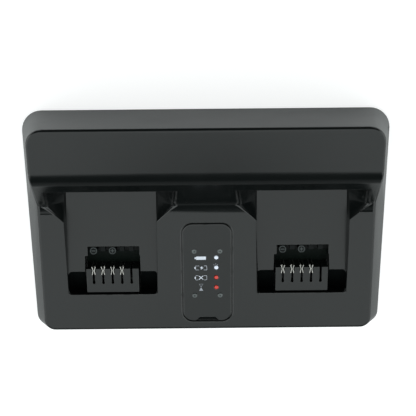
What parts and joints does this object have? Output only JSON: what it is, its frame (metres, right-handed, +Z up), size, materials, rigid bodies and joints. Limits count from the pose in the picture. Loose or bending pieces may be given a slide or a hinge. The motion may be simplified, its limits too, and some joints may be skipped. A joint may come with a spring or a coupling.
{
  "type": "power tool battery charger",
  "caption": "Black two-bay charger for slide-on battery packs: rear tower, sloped deck with funnelled bays, slotted terminal blocks and a lit indicator panel.",
  "frame": {"origin": "on the table, under the middle of the body's box", "axes": "+X to the right across the two bays, +Y back towards the tower, +Z up; the low front edge faces -Y"},
  "size_m": [0.3124, 0.19, 0.1048],
  "materials": {
    "housing_plastic": "satin black moulded plastic with soft edges",
    "base_plastic": "matt black moulded plastic",
    "panel_plastic": "satin black plastic face plate",
    "panel_screw_steel": "dull grey steel heads",
    "clear_plastic": "clear to milky light pipes",
    "circuit_board": "green solder mask",
    "led_plastic": "pale yellow light emitters",
    "terminal_plastic": "black moulded terminal plastic",
    "contact_metal": "bright tin-plated copper alloy",
    "wire_red": "red wire insulation",
    "wire_dark": "black wire insulation",
    "transformer_core": "ferrite and taped winding",
    "copper_winding": "enamelled copper winding",
    "film_capacitor": "yellow film capacitor case",
    "capacitor_sleeve": "dark blue capacitor sleeve",
    "component_black": "black epoxy package",
    "fuse_glass": "glass fuse with metal caps",
    "heat_sink_aluminium": "plain extruded aluminium",
    "inlet_plastic": "black moulded inlet",
    "pin_metal": "nickel-plated pins",
    "screw_steel": "zinc-plated steel",
    "foot_rubber": "soft black rubber"
  },
  "bodies": {
    "root": {"upper_housing": "housing_plastic", "base_cover": "base_plastic", "indicator_panel": "panel_plastic", "panel_screws": "panel_screw_steel", "light_pipes": "clear_plastic", "indicator_board": "circuit_board", "status_leds": "led_plastic", "left_terminal_block": "terminal_plastic", "right_terminal_block": "terminal_plastic", "left_fork_contacts": "contact_metal", "right_fork_contacts": "contact_metal", "left_terminal_board": "circuit_board", "right_terminal_board": "circuit_board", "left_contact_wires": "wire_red", "right_contact_wires": "wire_red", "power_board": "circuit_board", "transformer": "transformer_core", "common_mode_choke": "copper_winding", "mains_capacitor": "film_capacitor", "bulk_capacitor": "capacitor_sleeve", "output_capacitors": "capacitor_sleeve", "bridge_rectifier": "component_black", "fuse": "fuse_glass", "heat_sink": "heat_sink_aluminium", "power_transistors": "component_black", "inlet_socket": "inlet_plastic", "inlet_pins": "pin_metal", "inlet_wires": "wire_dark", "indicator_wires": "wire_dark", "board_screws": "screw_steel", "housing_screws": "screw_steel", "rubber_feet": "foot_rubber"}
  },
  "joints": []
}
